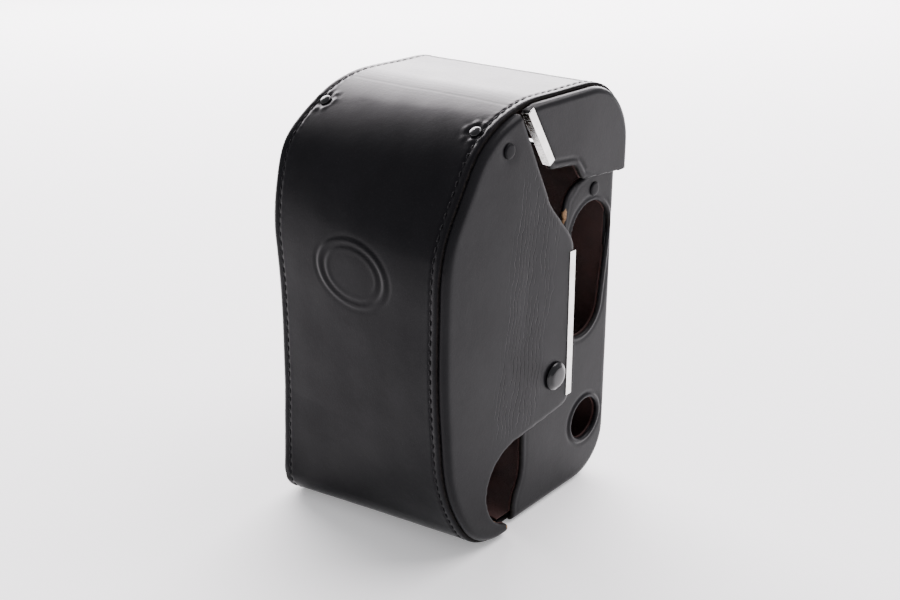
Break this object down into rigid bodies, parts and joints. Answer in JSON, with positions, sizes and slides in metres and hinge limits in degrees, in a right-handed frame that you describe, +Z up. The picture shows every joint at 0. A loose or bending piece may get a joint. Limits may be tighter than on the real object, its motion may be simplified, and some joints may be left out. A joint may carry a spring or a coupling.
{
  "type": "camera case",
  "caption": "Moulded black leather ever-ready case for a twin-lens reflex camera, with a hinged front and top and a half case with side windows.",
  "frame": {"origin": "middle of the footprint on the surface that the case stands on", "axes": "+Z up, -Y out of the case's front, +X towards its own left side"},
  "size_m": [0.1046, 0.119, 0.184],
  "materials": {
    "leather": "satin black hide",
    "lining": "deep red plush",
    "thread": "black waxed thread",
    "board": "grey-brown fibre board",
    "bright": "bright nickel",
    "enamel": "gloss black enamel",
    "steel": "dull nickel",
    "brass": "plain brass"
  },
  "bodies": {
    "half_case": {"half_case_band": "leather", "half_case_side_left": "leather", "half_case_side_right": "leather", "half_case_band_lining": "lining", "half_case_side_lining_left": "lining", "half_case_side_lining_right": "lining", "half_case_seam_thread": "thread", "base_board": "board", "snap_studs": "steel", "snap_posts": "steel", "half_case_side_rivets": "enamel", "half_case_side_rivet_burrs": "steel", "screw_cup": "brass", "screw_cup_rivets": "brass"},
    "front_cover": {"front_cover_band": "leather", "front_cover_side_left": "leather", "front_cover_side_right": "leather", "front_cover_band_lining": "lining", "front_cover_side_lining_left": "lining", "front_cover_side_lining_right": "lining", "front_cover_seam_thread": "thread", "snap_caps": "enamel", "snap_sockets": "steel", "corner_brackets": "steel", "corner_band_rivets": "enamel", "corner_band_rivet_burrs": "steel", "corner_side_rivets": "enamel", "corner_side_rivet_burrs": "steel", "front_cover_edge_trims": "bright"},
    "top_cover": {"top_cover_band": "leather", "top_cover_side_left": "leather", "top_cover_side_right": "leather", "top_cover_band_lining": "lining", "top_cover_side_lining_left": "lining", "top_cover_side_lining_right": "lining", "top_cover_seam_thread": "thread", "top_cover_edge_trims": "bright"},
    "retaining_screw": {"base_screw": "bright", "screw_retaining_ring": "steel"}
  },
  "joints": [
    {"name": "front_cover_fold", "type": "hinge", "parent": "half_case", "child": "front_cover", "pos_m": [0, -0.0185, 0], "axis": [1, 0, 0], "range_deg": [0, 120]},
    {"name": "top_cover_fold", "type": "hinge", "parent": "front_cover", "child": "top_cover", "pos_m": [0, -0.0115, 0.1826], "axis": [1, 0, 0], "range_deg": [0, 110]},
    {"name": "retaining_screw_turn", "type": "hinge", "parent": "half_case", "child": "retaining_screw", "pos_m": [0, 0.008, 0.004], "axis": [0, 0, 1], "continuous": true}
  ]
}
